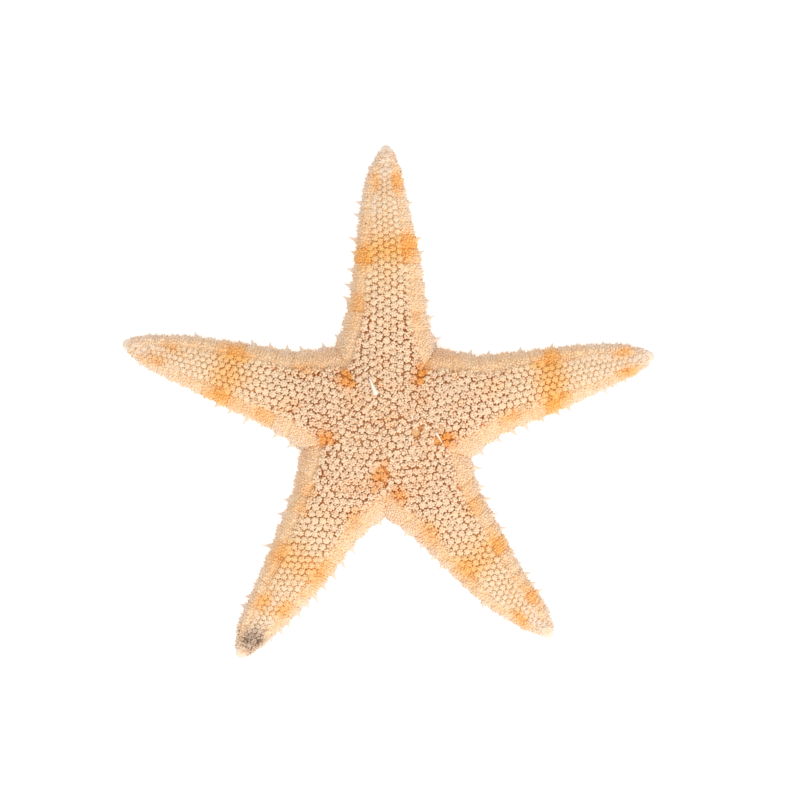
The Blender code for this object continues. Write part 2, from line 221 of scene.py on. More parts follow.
def ring_layout(share):
    """(inward offset, height) of the five rings."""
    width = float(through(PLATE_WIDTH, share))
    height = float(through(CREST, share))
    return (
        (width, 0.84 * height - 0.15 * MM),
        (0.45 * width, 0.76 * height),
        (0.05 * width, 0.46 * height),
        (0.0, 0.18 * height),
        (0.24 * width, UNDERSIDE),
    )


def ring_point(k, side, j, level):
    s = joint_distance(k, side, j)
    if j == 0:
        inward, height = ring_layout(0.33)[level]
        inward += BEAD_COVER / 1.3
        if level == 4:
            inward = LOWER_PLATE_REACH / 1.3
        plan = notch(notch_of(k, side), inward)
        return Vector((plan.x, plan.y, height))
    share = s / ARM_REACH[k]
    inward, height = ring_layout(max(share, 0.33))[level]
    half = edge_half_width(k, side, s)
    if level == 4:
        groove = through(GROOVE_HALF_WIDTH, share) + (1.45 - 0.95 * share) * MM
        inward = min(LOWER_PLATE_REACH, half - groove)
    plan = on_arm(k, s, side * (half - inward))
    return Vector((plan.x, plan.y, height))


def tip_point(k, place, level):
    """Ring points round the end of an arm: 0 at the very tip, -2 and 2 on its flanks."""
    inward = TIP_INWARD[level]
    short, half, low = TIP_ROUND[abs(place)]
    back = short + inward * (1.1, 0.9, 0.2)[abs(place)]
    plan = on_arm(k, ARM_REACH[k] - back, math.copysign(max(half - inward, 0.3 * half), place))
    return Vector((plan.x, plan.y, TIP_HEIGHT[level] * (low if level < 4 else 1.0)))


def ring(level):
    """All points of one ring, anticlockwise, from the notch right of the first arm."""
    points = []
    for k in range(5):
        points += [ring_point(k, -1, j, level) for j in range(PLATES + 1)]
        points += [tip_point(k, place, level) for place in (-2, -1, 0, 1, 2)]
        points += [ring_point(k, 1, j, level) for j in range(PLATES, 0, -1)]
    return points


def is_plate(i):
    """True if the cell after ring point i is a plate, not part of the tip."""
    place = i % ARM_POINTS
    return place < PLATES or place >= PLATES + 6


# %% Extrude the rim
body = bmesh.new()
first = [body.verts.new(p) for p in ring(0)]
loop = [body.edges.new((first[i], first[(i + 1) % RING_SIZE])) for i in range(RING_SIZE)]
rings, strips = [first], []
for level in range(1, 5):
    bmesh.ops.extrude_edge_only(body, edges=loop)
    known = {v for one in rings for v in one}
    new = []
    for vert in rings[-1]:
        ends = (edge.other_vert(vert) for edge in vert.link_edges)
        new.append(next(end for end in ends if end not in known))
    for vert, place in zip(new, ring(level)):
        vert.co = place
    loop = [body.edges.get((new[i], new[(i + 1) % RING_SIZE])) for i in range(RING_SIZE)]
    strips.append([edge.link_faces[0] for edge in loop])
    rings.append(new)
rim_rows = [[v.co.copy() for v in one] for one in rings]
print("ring points", RING_SIZE, "plates", sum(is_plate(i) for i in range(RING_SIZE)))

# %% [markdown]
# ## Upper and lower skin
# The field between the rims is filled with even triangles, so that it can sag
# and swell when it is smoothed. Below, five grooves run from the arm tips to the
# mouth. Both are filled inside their ring with a Delaunay triangulation, which
# keeps the groove edges as given lines.

# %% Fill the upper field
FIELD_STEP = 2.4 * MM


def clearance(points, outline):
    """Distance in plan from an outline, positive inside it, for an array of points."""
    a = np.array([tuple(p)[:2] for p in outline])
    b = np.roll(a, -1, axis=0)
    edge = b - a
    found = []
    for part in np.array_split(points, max(1, len(points) // 4000)):
        away = part[:, None, :] - a
        u = np.clip((away * edge).sum(axis=2) / (edge**2).sum(axis=1), 0, 1)
        far = np.linalg.norm(away - u[:, :, None] * edge, axis=2).min(axis=1)
        y = part[:, 1:2]
        crossed = (a[:, 1] > y) != (b[:, 1] > y)
        x_there = a[:, 0] + (y - a[:, 1]) * edge[:, 0] / np.where(edge[:, 1] == 0, 1e-12, edge[:, 1])
        odd = (crossed & (part[:, 0:1] < x_there)).sum(axis=1) % 2 == 1
        found.append(np.where(odd, far, -far))
    return np.concatenate(found)


def grid_points(step, reach=56 * MM):
    """Staggered rows of plan points over the whole star."""
    rows = np.arange(-reach, reach, step * math.sqrt(3) / 2)
    columns = np.arange(-reach, reach, step)
    x, y = np.meshgrid(columns, rows)
    x[1::2] += step / 2
    return np.stack([x.ravel(), y.ravel()], axis=1)


field_edge = [v.co.xy for v in rings[0]]
places = grid_points(FIELD_STEP)
places = places[clearance(places, field_edge) > 0.4 * FIELD_STEP]
plan = field_edge + [Vector(p) for p in places]
placed, _, faces = geometry.delaunay_2d_cdt(plan, [], [list(range(RING_SIZE))], 1, 1e-7)[:3]
upper = list(rings[0]) + [body.verts.new((*p, skin_height(p))) for p in placed[RING_SIZE:]]
for corners in faces:
    body.faces.new([upper[i] for i in corners])
print("faces of the upper field", len(faces))

# %% Fill the lower side with its grooves
GROOVE_HEIGHT = ((0.0, 3.1 * MM), (0.3, 2.6 * MM), (0.7, 1.7 * MM), (0.93, 0.7 * MM))
GROOVE_START = 3.4 * MM
GROOVE_STEPS = 30
FLOOR_STEPS = 15
JAW_REACH = 2.9 * MM
MOUTH_HEIGHT = 4.2 * MM
below = [v.co.xy for v in rings[4]]
heights = [UNDERSIDE] * RING_SIZE
lines, rim = [], []


def lower_point(point, height):
    below.append(point)
    heights.append(float(height))
    return len(below) - 1


for k in range(5):
    end = PLATES_END * ARM_REACH[k]
    rim.append(lower_point(CENTRE + polar(NOTCH_DIRECTION[k], JAW_REACH), UNDERSIDE))
    sides = []
    for side in (-1, 1):
        steps = [GROOVE_START + (end - GROOVE_START) * i / GROOVE_STEPS for i in range(GROOVE_STEPS)]
        halves = [side * float(through(GROOVE_HALF_WIDTH, s / ARM_REACH[k])) for s in steps]
        sides.append([lower_point(on_arm(k, s, t), UNDERSIDE) for s, t in zip(steps, halves)])
    floor = [lower_point(on_arm(k, end, 0.0), UNDERSIDE)]
    for i in range(FLOOR_STEPS - 1, 0, -1):
        s = 0.7 * GROOVE_START + (end - GROOVE_START) * i / FLOOR_STEPS
        floor.append(lower_point(on_arm(k, s, 0.0), through(GROOVE_HEIGHT, s / ARM_REACH[k])))
    lines += list(zip(floor, floor[1:]))
    rim += sides[0] + floor[:1] + sides[1][::-1]
lines += list(zip(rim, rim[1:] + rim[:1]))
lower_point(CENTRE.copy(), MOUTH_HEIGHT)
placed, _, faces = geometry.delaunay_2d_cdt(below, lines, [list(range(RING_SIZE))], 1, 1e-7)[:3]
lower = list(rings[4])
for point, height in zip(placed[RING_SIZE:], heights[RING_SIZE:]):
    lower.append(body.verts.new((*point, height)))
for corners in faces:
    body.faces.new([lower[i] for i in reversed(corners)])
bmesh.ops.recalc_face_normals(body, faces=body.faces)
print("faces of the lower side", len(faces))

# %% [markdown]
# ## Plates of the rim
# Each plate is a low cushion with a narrow joint beside it. Two neighbouring
# cells are inset as one region and lifted in the same step. A Subdivision
# Surface then rounds the cushions and softens the joints, which a bevel on so
# many small faces would do less evenly.

# %% Raise the plates and smooth the body
JOINT = 0.22 * MM
UPPER_RISE, LOWER_RISE = 0.38 * MM, 0.85 * MM
# how low the skin may bulge: the beads on it reach down to the table
LOWEST = 0.2 * MM
for i in range(RING_SIZE):
    if is_plate(i):
        size = (rim_rows[2][i] - rim_rows[2][(i + 1) % RING_SIZE]).length
        for pair, rise in (((0, 1), UPPER_RISE), ((2, 3), LOWER_RISE)):
            bmesh.ops.inset_region(
                body,
                faces=[strips[pair[0]][i], strips[pair[1]][i]],
                use_even_offset=True,
                use_boundary=True,
                thickness=min(JOINT, 0.1 * size),
                depth=min(rise, 0.28 * size),
            )


def finished(name, bm):
    """A smooth-shaded object from a bmesh."""
    mesh = bpy.data.meshes.new(name)
    bm.to_mesh(mesh)
    bm.free()
    mesh.polygons.foreach_set("use_smooth", [True] * len(mesh.polygons))
    piece = bpy.data.objects.new(name, mesh)
    bpy.context.scene.collection.objects.link(piece)
    return piece


skin = finished("star_skin", body)
smooth = skin.modifiers.new("round the plates", "SUBSURF")
smooth.levels = smooth.render_levels = 2
bpy.context.view_layer.update()
graph = bpy.context.evaluated_depsgraph_get()
rounded = bpy.data.meshes.new_from_object(skin.evaluated_get(graph))
for vert in rounded.vertices:
    vert.co.z = max(vert.co.z, LOWEST)
skin.modifiers.clear()
skin.data = rounded
corners = [tuple(p.vertices) for p in rounded.polygons]
surface = BVHTree.FromPolygons([v.co for v in rounded.vertices], corners)
print("faces of the skin", len(rounded.polygons))

# %% [markdown]
# ## Colours of the living pattern
# Cream all over, with orange bands across the arms at three fifths of their
# length, orange cheeks before each tip and small spots in the corners of the
# disc. The pattern follows the animal, so it is worked out from the place on the
# arm and stored as a colour attribute on every vertex. Each patch is a soft
# ellipse, listed one by one.

# %% Patches of the pattern
# arm, along, left, spread along, spread across (mm) and strength
PATCHES = (
    (TOP, 33.2, 0.2, 3.2, 5.2, 0.8),
    (TOP, 31.9, 4.3, 2.4, 1.9, 0.95),
    (TOP, 34.0, -3.8, 2.4, 2.0, 0.95),
    (TOP, 46.2, 2.3, 1.9, 1.2, 0.6),
    (TOP, 46.4, -1.6, 2.4, 1.1, 0.8),
    (TOP, 22.8, 5.5, 2.0, 1.5, 0.6),
    (TOP, 20.3, -5.3, 1.2, 1.0, 0.4),
    (TOP, 9.5, -6.6, 2.4, 1.9, 0.95),
    (LEFT, 9.8, -6.4, 2.3, 2.2, 0.95),
    (LEFT, 10.3, 6.2, 2.2, 1.9, 0.9),
    (LEFT, 31.6, -4.2, 2.8, 1.8, 0.9),
    (LEFT, 32.0, 3.9, 2.8, 1.8, 0.9),
    (LEFT, 31.9, -0.2, 3.2, 3.8, 0.7),
    (LEFT, 43.4, -1.7, 2.4, 1.1, 0.6),
    (LEFT, 45.6, 1.3, 2.4, 1.1, 0.6),
    (LEFT, 23.5, 5.2, 2.4, 1.5, 0.6),
    (LEFT, 18.2, -5.3, 2.0, 1.2, 0.45),
    (LOWER_LEFT, 8.8, 3.8, 2.6, 1.5, 0.85),
    (LOWER_LEFT, 18.2, 3.9, 2.2, 1.6, 0.5),
    (LOWER_LEFT, 18.5, -5.8, 1.2, 1.4, 0.5),
    (LOWER_LEFT, 21.9, -5.0, 1.2, 1.4, 0.5),
    (LOWER_LEFT, 31.5, -3.8, 3.0, 1.8, 0.75),
    (LOWER_LEFT, 30.7, 3.8, 3.0, 1.8, 0.7),
    (LOWER_LEFT, 31.1, 0.0, 2.8, 3.6, 0.5),
    (LOWER_LEFT, 40.9, -1.9, 2.4, 1.4, 0.85),
    (LOWER_LEFT, 40.2, 2.0, 2.4, 1.4, 0.8),
    (LOWER_RIGHT, 11.7, -6.2, 2.0, 1.6, 0.75),
    (LOWER_RIGHT, 20.5, -5.7, 2.5, 1.6, 0.55),
    (LOWER_RIGHT, 21.5, 3.6, 2.0, 1.5, 0.55),
    (LOWER_RIGHT, 30.8, -4.7, 3.0, 1.8, 0.8),
    (LOWER_RIGHT, 30.5, 2.7, 2.5, 1.6, 0.85),
    (LOWER_RIGHT, 30.6, -1.0, 2.9, 3.6, 0.5),
    (LOWER_RIGHT, 42.6, 1.8, 2.4, 1.3, 0.8),
    (LOWER_RIGHT, 44.5, -2.3, 2.2, 1.2, 0.85),
    (RIGHT, 9.6, -5.3, 2.3, 1.9, 0.95),
    (RIGHT, 32.9, 4.0, 2.6, 2.0, 0.9),
    (RIGHT, 31.4, -3.9, 2.6, 2.1, 0.95),
    (RIGHT, 32.0, 0.0, 3.0, 4.6, 0.8),
    (RIGHT, 46.7, 1.9, 1.8, 1.1, 0.85),
    (RIGHT, 46.7, -1.6, 1.8, 1.1, 0.85),
    (RIGHT, 22.9, -4.2, 2.4, 1.5, 0.6),
)
DIRT_PATCH = (LOWER_LEFT, 48.2, 0.2, 2.6, 2.1)

# %% Pattern functions


def linear(hex_colour):
    """sRGB hex to linear red, green, blue."""
    values = [int(hex_colour[i : i + 2], 16) / 255 for i in (1, 3, 5)]
    return np.array([v / 12.92 if v <= 0.04045 else ((v + 0.055) / 1.055) ** 2.4 for v in values])


def straight_places(points):
    """Arm number, distance along and to the left of its straight axis, for an array of points."""
    plan = points[:, :2] - np.array(CENTRE)
    angle = np.degrees(np.arctan2(plan[:, 1], plan[:, 0]))
    apart = np.abs((angle[:, None] - np.array(ARM_DIRECTION) + 180) % 360 - 180)
    k = apart.argmin(axis=1)
    turn = np.radians(np.array(ARM_DIRECTION))[k]
    s = plan[:, 0] * np.cos(turn) + plan[:, 1] * np.sin(turn)
    t = -plan[:, 0] * np.sin(turn) + plan[:, 1] * np.cos(turn)
    return k, s, t


def ripple(points, size, seed):
    """Smooth wandering value from -1 to 1 whose features are about `size` wide."""
    turns = np.random.default_rng(seed)
    value = np.zeros(len(points))
    for _ in range(6):
        way = turns.normal(size=3)
        way *= turns.uniform(0.7, 1.6) * math.pi / (size * np.linalg.norm(way))
        value += np.sin(points @ way + turns.uniform(0, 2 * math.pi))
    return value / 3.5


def blot(points, along, left, wide, across, ragged):
    """Soft ellipse round one place of an arm."""
    _, s, t = straight_places(points)
    far = ((s / MM - along) / wide) ** 2 + ((t / MM - left) / across) ** 2
    return np.exp(-((far * ragged) ** 1.4))


def pigment(points):
    """Share of orange at each point, from 0 to 1."""
    k, _, _ = straight_places(points)
    clear = np.ones(len(points))
    ragged = 1 + 0.4 * ripple(points, 1.6 * MM, 3)
    for arm, along, left, wide, across, strength in PATCHES:
        clear *= 1 - strength * blot(points, along, left, wide, across, ragged) * (k == arm)
    faint = 0.2 * np.clip(ripple(points, 3.5 * MM, 5), 0, 1)
    return np.clip(1 - clear * (1 - faint), 0, 1) * np.clip(points[:, 2] / MM - 0.6, 0, 1)


def dirt(points):
    """Share of grey-brown dirt, at the worn end of one arm."""
    k, _, _ = straight_places(points)
    ragged = 1 + 0.5 * ripple(points, 1.2 * MM, 9)
    return blot(points, *DIRT_PATCH[1:], ragged) * (k == DIRT_PATCH[0]) * (points[:, 2] > 1.2 * MM)


def mix(a, b, share):
    share = np.clip(share, 0, 1)[:, None]
    return a * (1 - share) + b * share


# %% Colours by place
LONG_ARM = 52 * MM
CREAM_DISC = linear("#f5d8b8")
CREAM_ARM = linear("#f7dab5")
CREAM_EDGE = linear("#eddcd2")
ORANGE_INNER = linear("#f2a040")
ORANGE_COVER = linear("#f9ba5e")
SKIN_DISC = linear("#eaa660")
SKIN_INNER = linear("#cf7628")
SKIN_OUTER = linear("#ffce8e")
SKIN_RIM = linear("#f6d0a2")
ORANGE_SKIN = linear("#f0a03c")
DIRT_COVER = linear("#cfb49c")
DIRT_SKIN = linear("#6a4a38")


def cover_colour(points):
    """Colour of beads, pads and spinelets: cream, greyer low down, orange in the patches."""
    _, s, _ = straight_places(points)
    colour = mix(np.tile(CREAM_DISC, (len(points), 1)), CREAM_ARM, (s / LONG_ARM - 0.2) / 0.4)
    colour = mix(colour, CREAM_EDGE, 0.95 * np.clip(1 - points[:, 2] / (5.5 * MM), 0, 1))
    orange = mix(np.tile(ORANGE_INNER, (len(points), 1)), ORANGE_COVER, (s / MM - 12) / 10)
    colour = mix(colour, orange, 0.95 * pigment(points))
    return mix(colour, DIRT_COVER, dirt(points))


def skin_colour(points):
    """Colour of the skin: brown between the inner knobs, paler towards the tips and on the rim."""
    _, s, _ = straight_places(points)
    colour = mix(np.tile(SKIN_DISC, (len(points), 1)), SKIN_INNER, (s / MM - 8) / 7)
    colour = mix(colour, SKIN_OUTER, (s / LONG_ARM - 0.35) / 0.4)
    rim_share = np.clip(0.5 - clearance(points[:, :2], field_edge) / (0.5 * MM), 0, 1)
    colour = mix(colour, SKIN_RIM, rim_share)
    colour = mix(colour, ORANGE_SKIN, 0.9 * pigment(points))
    return mix(colour, DIRT_SKIN, dirt(points))


def paint(piece, colours):
    """Stores one colour per vertex as the attribute that the materials read."""
    layer = piece.data.attributes.new("tone", "FLOAT_COLOR", "POINT")
    rgba = np.ones((len(colours), 4), np.float32)
    rgba[:, :3] = np.clip(colours, 0, 1)
    layer.data.foreach_set("color", rgba.ravel())


field_edge = [Vector(p) for p in (row.xy for row in rim_rows[0])]
places = np.array([v.co[:] for v in skin.data.vertices])
paint(skin, skin_colour(places))
print("share of the skin that is orange", round(float((pigment(places) > 0.3).mean()), 3))

# %% [markdown]
# ## Small shapes that repeat
# Thousands of beads and spinelets cover the star, so each shape has only a few
# faces. All start as a low sphere that is drawn out along one axis: a bead stays
# round, a spinelet becomes a blunt rod, a pad a low dome, and a fringe spine a
# tapered blade. Copies are joined into one mesh with arrays, because thousands
# of objects would be slow and instances don't leave the scene.


# %% Bead, pad, spinelet, stalk and blade
def small_shape(make, **settings):
    """(points, faces) of a small shape made by one bmesh operator."""
    bm = bmesh.new()
    make(bm, **settings)
    bmesh.ops.recalc_face_normals(bm, faces=bm.faces)
    points = np.array([v.co[:] for v in bm.verts])
    faces = [tuple(v.index for v in f.verts) for f in bm.faces]
    bm.free()
    return points, faces


def drawn_out(ball, profile):
    """A low sphere drawn out from z = 0 to 1, with its radius there given by a profile."""
    points, faces = ball
    height = (points[:, 2] + 1) / 2
    across = np.linalg.norm(points[:, :2], axis=1)
    wide = np.where(across > 1e-6, profile(height) / np.maximum(across, 1e-6), 0)
    return np.stack([points[:, 0] * wide, points[:, 1] * wide, height], axis=1), faces


bead = small_shape(bmesh.ops.create_icosphere, subdivisions=1, radius=1.0)
ball_8 = small_shape(bmesh.ops.create_uvsphere, u_segments=8, v_segments=5, radius=1.0)
ball_6 = small_shape(bmesh.ops.create_uvsphere, u_segments=6, v_segments=6, radius=1.0)
pad = drawn_out(ball_8, lambda z: 0.55 + 0.95 * z * (1.75 - 1.9 * z))
spinelet = drawn_out(bead, lambda z: 0.3 + 0.28 * z)
stalk = small_shape(bmesh.ops.create_cone, cap_ends=True, segments=6, radius1=0.8, radius2=1.0, depth=1.0)
blade = drawn_out(ball_6, lambda z: 0.52 * (1 - z) ** 1.15 + 0.04)
for name, small in (("bead", bead), ("pad", pad), ("spinelet", spinelet), ("blade", blade)):
    print(name, "faces", len(small[1]))


# %% Joining the copies
def turned(normals, turns=None, ways=(0.31, 0.87, 0.39)):
    """Rotation matrices whose third column is the normal and whose first lies across `ways`."""
    normals = normals / np.linalg.norm(normals, axis=1, keepdims=True)
    side = np.cross(np.tile(ways, (len(normals), 1)), normals)
    side /= np.linalg.norm(side, axis=1, keepdims=True)
    front = np.cross(normals, side)
    if turns is not None:
        cos, sin = np.cos(turns)[:, None], np.sin(turns)[:, None]
        side, front = side * cos + front * sin, front * cos - side * sin
    return np.stack([side, front, normals], axis=2)


class Copies:
    """Collects copies of small shapes, then joins them into one painted mesh."""

    def __init__(self, name):
        self.name = name
        self.points, self.faces, self.colours, self.count = [], [], [], 0

    def add(self, small, at, turns, sizes, tops, roots=None, fade=1.0):
        """Adds copies. Their colour runs from `roots` at z = 0 to `tops`, the faster the smaller `fade`."""
        points, faces = small
        placed = np.einsum("nij,nmj->nmi", turns, points[None] * sizes[:, None, :]) + at[:, None, :]
        roots = tops if roots is None else roots
        rise = np.clip(points[:, 2] / fade, 0, 1)[None, :, None]
        tinted = roots[:, None, :] * (1 - rise) + tops[:, None, :] * rise
        for i in range(len(at)):
            offset = self.count + i * len(points)
            self.faces += [tuple(v + offset for v in face) for face in faces]
        self.count += len(at) * len(points)
        self.points.append(placed.reshape(-1, 3))
        self.colours.append(tinted.reshape(-1, 3))

    def join(self):
        mesh = bpy.data.meshes.new(self.name)
        mesh.from_pydata(np.concatenate(self.points).tolist(), [], self.faces)
        mesh.polygons.foreach_set("use_smooth", [True] * len(mesh.polygons))
        piece = bpy.data.objects.new(self.name, mesh)
        bpy.context.scene.collection.objects.link(piece)
        paint(piece, np.concatenate(self.colours))
        print(self.name, "faces", len(self.faces))
        return piece


def uneven(count, low, high):
    """One random factor for each copy."""
    return rng.uniform(low, high, (count, 1))


# %% [markdown]
# ## Knobs of the upper side
# A knob of this kind of star is a short stalk with a crown: a low pad ringed by
# blunt spinelets. On the arms the crowns are neat and close together in
# staggered lengthwise rows. On the disc they are more ragged. The rows are laid
# out along each arm, thinned where the rows of two arms meet, filled up again
# wherever a hole is left, and evened out. A grid over the whole star would be
# simpler, but its rows wouldn't turn with the arms.

# %% Lay out the knobs
KNOB_PITCH = ((0.0, 1.42 * MM), (0.4, 1.45 * MM), (0.65, 1.26 * MM), (0.85, 1.05 * MM), (1.0, 0.9 * MM))
SIEVE_AT = CENTRE + Vector((5.15 * MM, -1.25 * MM))
SIEVE_RADIUS = 0.95 * MM
SIEVE_ROOM = 1.45 * MM
# in knob pitches: rows lie this far apart, closer knobs are thinned, larger holes filled
ROW_GAP = 0.86
THIN_BELOW = 0.76
FILL_ABOVE = 0.74
EDGE_GAP = 0.3


def pitch_at(points):
    k, s, _ = straight_places(points)
    return through(KNOB_PITCH, s / np.array(ARM_REACH)[k])


def far_from_sieve(points):
    return np.linalg.norm(points - np.array(SIEVE_AT), axis=1) > SIEVE_ROOM


rows = []
for k in (TOP, RIGHT, LOWER_RIGHT, LOWER_LEFT, LEFT):
    s = 0.0
    step = 0
    while s < PLATES_END * ARM_REACH[k]:
        pitch = float(through(KNOB_PITCH, s / ARM_REACH[k]))
        for column in range(-9, 10):
            if (column + step) % 2 == 0:
                point = on_arm(k, s, column * ROW_GAP * pitch)
                if nearest_arm(point) == k:
                    rows.append(tuple(point))
        s += 0.5 * pitch
        step += 1
rows = np.array(rows)
rows = rows[(clearance(rows, field_edge) > EDGE_GAP * pitch_at(rows)) & far_from_sieve(rows)]
knobs = rows[:1]
for point, pitch in zip(rows, pitch_at(rows)):
    if np.linalg.norm(knobs - point, axis=1).min() > THIN_BELOW * pitch:
        knobs = np.concatenate([knobs, [point]])
print("knobs in rows", len(knobs))

# %% Fill the holes and even out the disc
EVENING_ROUNDS = 14
EVENING_REACH = 20 * MM
spots = grid_points(0.35 * MM)
spots = spots[(clearance(spots, field_edge) > 0.24 * pitch_at(spots)) & far_from_sieve(spots)]
nearest = np.array([np.linalg.norm(knobs - spot, axis=1).min() for spot in spots])
while True:
    lacking = nearest / pitch_at(spots)
    worst = int(lacking.argmax())
    if lacking[worst] < FILL_ABOVE:
        break
    knobs = np.concatenate([knobs, [spots[worst]]])
    nearest = np.minimum(nearest, np.linalg.norm(spots - spots[worst], axis=1))
for _ in range(EVENING_ROUNDS):
    free = np.linalg.norm(knobs - np.array(CENTRE), axis=1) < EVENING_REACH
    apart = knobs[:, None, :] - knobs[None, :, :]
    far = np.linalg.norm(apart, axis=2)
    far[far < 1e-9] = 1.0
    pitch = pitch_at(knobs)
    push = np.clip(1.1 * pitch[:, None] - far, 0, None)
    moved = knobs + 0.16 * (apart / far[:, :, None] * push[:, :, None]).sum(axis=1) * free[:, None]
    allowed = (clearance(moved, field_edge) > EDGE_GAP * pitch) & far_from_sieve(moved)
    knobs = np.where(allowed[:, None], moved, knobs)
knobs += rng.normal(size=knobs.shape) * 0.03 * MM
print("knobs", len(knobs))


# %% Build stalks, pads and spinelets
def surface_at(point):
    """Place and normal of the skin under a plan point."""
    hit, normal, _, _ = surface.ray_cast(Vector((*point, 30 * MM)), Vector((0, 0, -1)))
    return hit, normal


DISC = 5
DISC_REACH = 11 * MM
# spinelets of a crown: how many, how far out their roots stand in pitches, their lean
# in degrees, and how much less a fully ragged crown leans
CROWN_RINGS = ((7, 0.18, 52, 6), (3, 0.09, 15, 0))
KINDS = ("stalk", "pad", "spinelet", "granule")
crown_parts = [{kind: [] for kind in KINDS} for _ in range(DISC + 1)]
knob_arm, knob_s, _ = straight_places(knobs)
crowding = np.sort(np.linalg.norm(knobs[:, None] - knobs[None], axis=2), axis=1)[:, 1:5].mean(axis=1)
for point, k, s, near, gap in zip(knobs, knob_arm, knob_s, crowding, clearance(knobs, field_edge)):
    hit, normal = surface_at(point)
    pitch = min(near, 1.12 * float(through(KNOB_PITCH, s / ARM_REACH[k])))
    from_centre = math.hypot(*(point - np.array(CENTRE)))
    ragged = float(np.clip(1.1 - (from_centre - 6 * MM) / (17 * MM), 0.0, 1.0)) * rng.uniform(0.15, 0.85)
    if gap < 1.2 * MM and from_centre < 27 * MM:
        ragged = max(ragged, rng.uniform(0.3, 0.9))
    parts = crown_parts[DISC if from_centre < DISC_REACH else int(k)]
    up = (Vector(normal) + Vector((*rng.normal(size=2) * (0.09 + 0.1 * ragged), 0))).normalized()
    height = knob_height(s / ARM_REACH[k]) * rng.uniform(0.86, 1.14) + 0.1 * MM * ragged
    head = hit + up * height
    wide = pitch * 0.46 * rng.uniform(0.86, 1.08)
    parts["stalk"].append((hit + up * 0.4 * height, up, (0.3 * pitch, 0.3 * pitch, height)))
    parts["pad"].append((head - up * (0.29 + 0.1 * ragged) * pitch, up, (wide, wide, 0.3 * pitch)))
    side = up.orthogonal().normalized()
    front = up.cross(side)
    start = rng.uniform(0, 2 * math.pi)
    for count, out, slope, less in CROWN_RINGS:
        for i in range(count):
            angle = start + 2 * math.pi * (i + rng.normal() * (0.12 + 0.14 * ragged)) / count
            way = side * math.cos(angle) + front * math.sin(angle)
            lean = math.radians(rng.normal(slope - less * ragged, 7 + 12 * ragged))
            length = pitch * rng.uniform(0.37, 0.5) * (1 + ragged * rng.uniform(-0.2, 0.45))
            width = pitch * rng.uniform(0.34, 0.46) * (1 + ragged * rng.uniform(-0.2, 0.05))
            root = head + way * out * pitch - up * 0.32 * pitch
            direction = way * math.sin(lean) + up * math.cos(lean)
            parts["spinelet"].append((root, direction, (width, width, length)))
print("spinelets", sum(len(parts["spinelet"]) for parts in crown_parts))


# %% Low granules between the crowns
# lower than the crowns, they half fill the gaps that these leave, and are painted browner than the crowns
# as painted shade in those gaps
FILL_GAP = 0.4 * MM
spots = grid_points(0.2 * MM)
spots = spots[(clearance(spots, field_edge) > 0.1 * MM)]
near_sieve = np.linalg.norm(spots - np.array(SIEVE_AT), axis=1) < SIEVE_RADIUS + 0.2 * MM
nearest = []
for part in np.array_split(spots, 40):
    nearest.append(np.linalg.norm(part[:, None] - knobs, axis=2).min(axis=1))
nearest = np.concatenate(nearest)
on_disc = np.linalg.norm(spots - np.array(CENTRE), axis=1) < 17 * MM
spots = spots[(nearest > np.where(on_disc, 0.5, 0.57) * pitch_at(spots)) & ~near_sieve]
fillers = np.empty((0, 2))
for spot in spots[rng.permutation(len(spots))]:
    if len(fillers) == 0 or np.linalg.norm(fillers - spot, axis=1).min() > FILL_GAP:
        fillers = np.concatenate([fillers, [spot]])
arms, along, _ = straight_places(fillers)
for point, k, s in zip(fillers, arms, along):
    hit, normal = surface_at(point)
    from_centre = math.hypot(*(point - np.array(CENTRE)))
    up = (Vector(normal) + Vector((*rng.normal(size=2) * 0.2, 0))).normalized()
    width = FILL_GAP * rng.uniform(0.8, 1.15)
    length = knob_height(s / ARM_REACH[k]) * rng.uniform(0.55, 0.85)
    parts = crown_parts[DISC if from_centre < DISC_REACH else int(k)]
    parts["granule"].append((hit, up, (width, width, length)))
print("low granules", len(fillers))

# %% Join the crowns
knob_pieces = []
for where, parts in zip(ARM_NAMES + ("disc",), crown_parts):
    crowns = Copies("crowns_" + where)
    for kind, small in zip(KINDS, (stalk, pad, spinelet, spinelet)):
        if not parts[kind]:
            continue
        at = np.array([tuple(p[0]) for p in parts[kind]])
        turns = turned(np.array([tuple(p[1]) for p in parts[kind]]))
        sizes = np.array([p[2] for p in parts[kind]])
        skin_tone = skin_colour(at)
        tone = cover_colour(at) * uneven(len(at), 0.92, 1.05)
        # stalks keep the skin's own colour; pads and spinelets are painted darker and warmer towards their
        # roots, in the skin tone: painted shade between the parts, and the warm glow of light scattered
        # inside them
        if kind == "stalk":
            crowns.add(small, at, turns, sizes, skin_tone)
        elif kind == "pad":
            crowns.add(small, at, turns, sizes, 0.96 * tone, 0.4 * tone + 0.6 * skin_tone, fade=0.7)
        elif kind == "granule":
            # granules: painted browner, half skin tone at the top, as painted shade in the gaps between the
            # crowns
            crowns.add(small, at, turns, sizes, 0.5 * tone + 0.5 * skin_tone, skin_tone)
        else:
            crowns.add(small, at, turns, sizes, tone, 0.25 * tone + 0.75 * skin_tone, fade=0.74)
    knob_pieces.append(crowns.join())

# %% [markdown]
# ## Beads of the rim plates
# Every plate is paved with fine blunt beads in rows that run across the rim.
# Rows are laid between the rings of the rim and dropped onto the smoothed skin,
# so they follow the cushions and stay a little apart at the joints.

# %% Pave the plates with beads
BEAD_PITCH = 0.5 * MM
# beads lie a little further apart down the side, where they are seen less
LEVEL_PITCH = (0.95, 0.92, 0.95, 1.1, 1.3)
INNER_LIP = 0.4 * MM
JOINT_TINT_WIDTH = 0.22


def rim_path(i, share):
    """Places across the rim at `share` of the way along cell i, from the knob field to below."""
    after = (i + 1) % RING_SIZE
    path = [row[i].lerp(row[after], share) for row in rim_rows]
    return [path[0] + (path[0] - path[1]).normalized() * INNER_LIP] + path


def cell_length(i, level):
    return (rim_rows[level][(i + 1) % RING_SIZE] - rim_rows[level][i]).length


